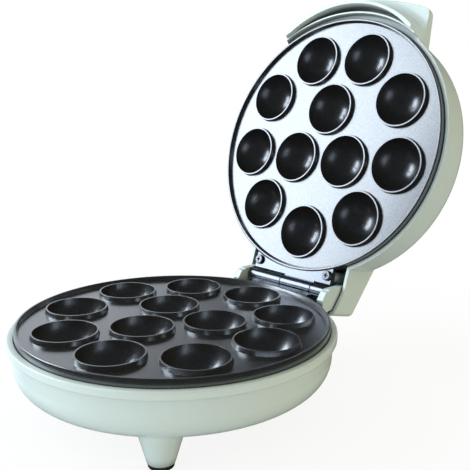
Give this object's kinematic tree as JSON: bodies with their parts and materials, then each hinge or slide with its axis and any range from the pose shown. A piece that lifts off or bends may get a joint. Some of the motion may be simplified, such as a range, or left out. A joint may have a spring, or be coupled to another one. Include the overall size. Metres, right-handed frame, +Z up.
{
  "type": "ball cake maker",
  "caption": "Round countertop ball cake maker with a hinged lid, cupped non-stick plates in base and lid, a front handle and tapered legs.",
  "frame": {"origin": "on the worktop, under the middle of the open cooker", "axes": "+Z up from the worktop, -Y towards the person at the handle, +X to the right seen from the front; the hinge runs along X"},
  "size_m": [0.2086, 0.3181, 0.2742],
  "materials": {
    "mint_plastic": "pale mint moulded plastic, glossy",
    "non_stick_coating": "die-cast aluminium with a satin black non-stick coating",
    "reflector_steel": "pressed aluminised steel sheet",
    "reflector_aluminium": "pressed bright aluminium sheet",
    "element_tube": "heat-tinted steel tube",
    "hinge_steel": "bright rolled steel",
    "screw_steel": "plated steel screws",
    "foot_rubber": "black rubber",
    "gland_rubber": "black moulded bush",
    "terminal_plastic": "off-white plastic",
    "thermostat_case": "brown phenolic case",
    "fuse_ceramic": "white ceramic case",
    "red_lens": "clear red plastic",
    "green_lens": "clear green plastic",
    "bulb_glass": "glass neon bulb"
  },
  "bodies": {
    "base": {"base_shell": "mint_plastic", "cord_gland": "gland_rubber", "foot_pad_front_left": "foot_rubber", "foot_pad_front_right": "foot_rubber", "foot_pad_rear_left": "foot_rubber", "foot_pad_rear_right": "foot_rubber", "hinge_pin": "hinge_steel", "lower_element": "element_tube", "lower_hinge_leaf": "hinge_steel", "lower_leaf_screws": "screw_steel", "lower_plate": "non_stick_coating", "lower_plate_screws": "screw_steel", "lower_reflector": "reflector_steel", "lower_thermal_fuse": "fuse_ceramic", "terminal_block": "terminal_plastic", "thermostat": "thermostat_case"},
    "lid": {"green_lamp_bulb": "bulb_glass", "green_lamp_lens": "green_lens", "lid_shell": "mint_plastic", "red_lamp_bulb": "bulb_glass", "red_lamp_lens": "red_lens", "upper_element": "element_tube", "upper_hinge_leaf": "hinge_steel", "upper_leaf_screws": "screw_steel", "upper_plate": "non_stick_coating", "upper_reflector": "reflector_aluminium", "upper_reflector_screws": "screw_steel", "upper_thermal_fuse": "fuse_ceramic"}
  },
  "joints": [
    {"name": "lid_hinge", "type": "hinge", "parent": "base", "child": "lid", "pos_m": [0, 0.05623, 0.0588], "axis": [1, 0, 0], "range_deg": [0, 108.3]}
  ]
}
